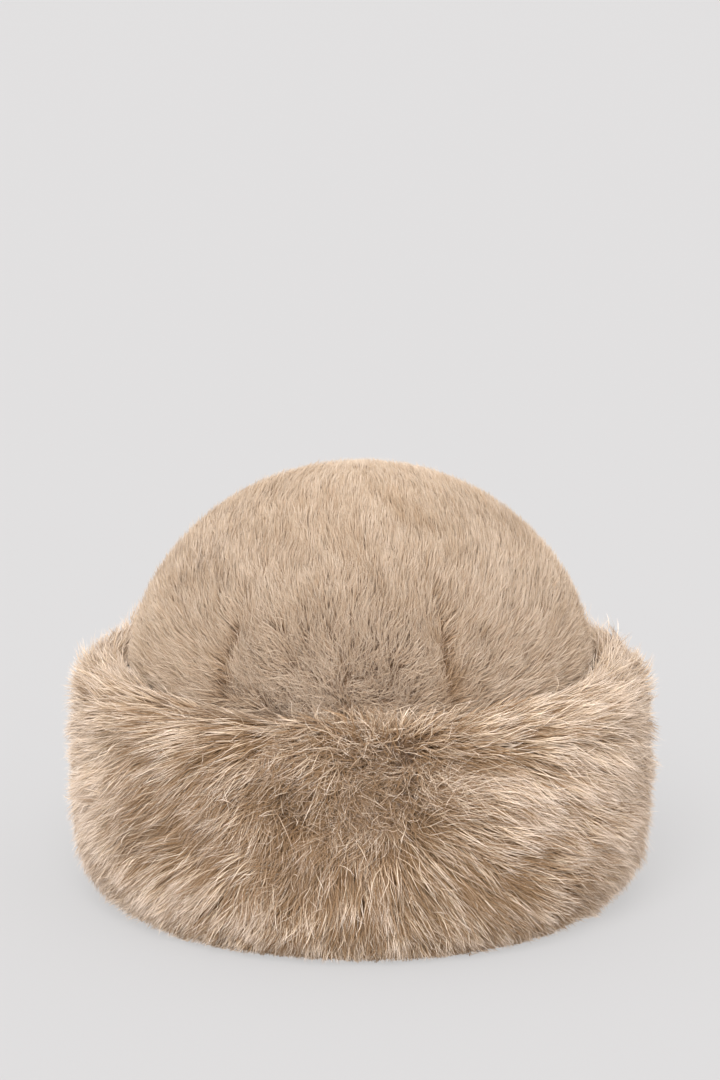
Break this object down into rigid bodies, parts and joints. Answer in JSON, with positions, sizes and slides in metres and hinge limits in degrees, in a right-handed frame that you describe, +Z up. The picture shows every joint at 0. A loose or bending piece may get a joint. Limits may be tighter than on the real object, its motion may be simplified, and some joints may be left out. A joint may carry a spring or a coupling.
{
  "type": "cuffed fur hat",
  "caption": "Warm hat with a domed crown of sewn gores in short fur pile and a deep turned-up cuff in long shaggy pile, open below for the head.",
  "frame": {"origin": "on the surface the hat rests on, under the middle of the hat", "axes": "+Z up through the top of the crown, -Y towards the front, +X to the right in the front view"},
  "size_m": [0.2714, 0.2881, 0.2028],
  "materials": {
    "crown_pile": "short soft fur pile, matte",
    "cuff_pile": "long shaggy fur pile, matte"
  },
  "bodies": {
    "root": {"crown_gore_1": "crown_pile", "crown_gore_2": "crown_pile", "crown_gore_3": "crown_pile", "crown_gore_4": "crown_pile", "crown_gore_5": "crown_pile", "crown_gore_6": "crown_pile", "cuff": "cuff_pile"}
  },
  "joints": []
}
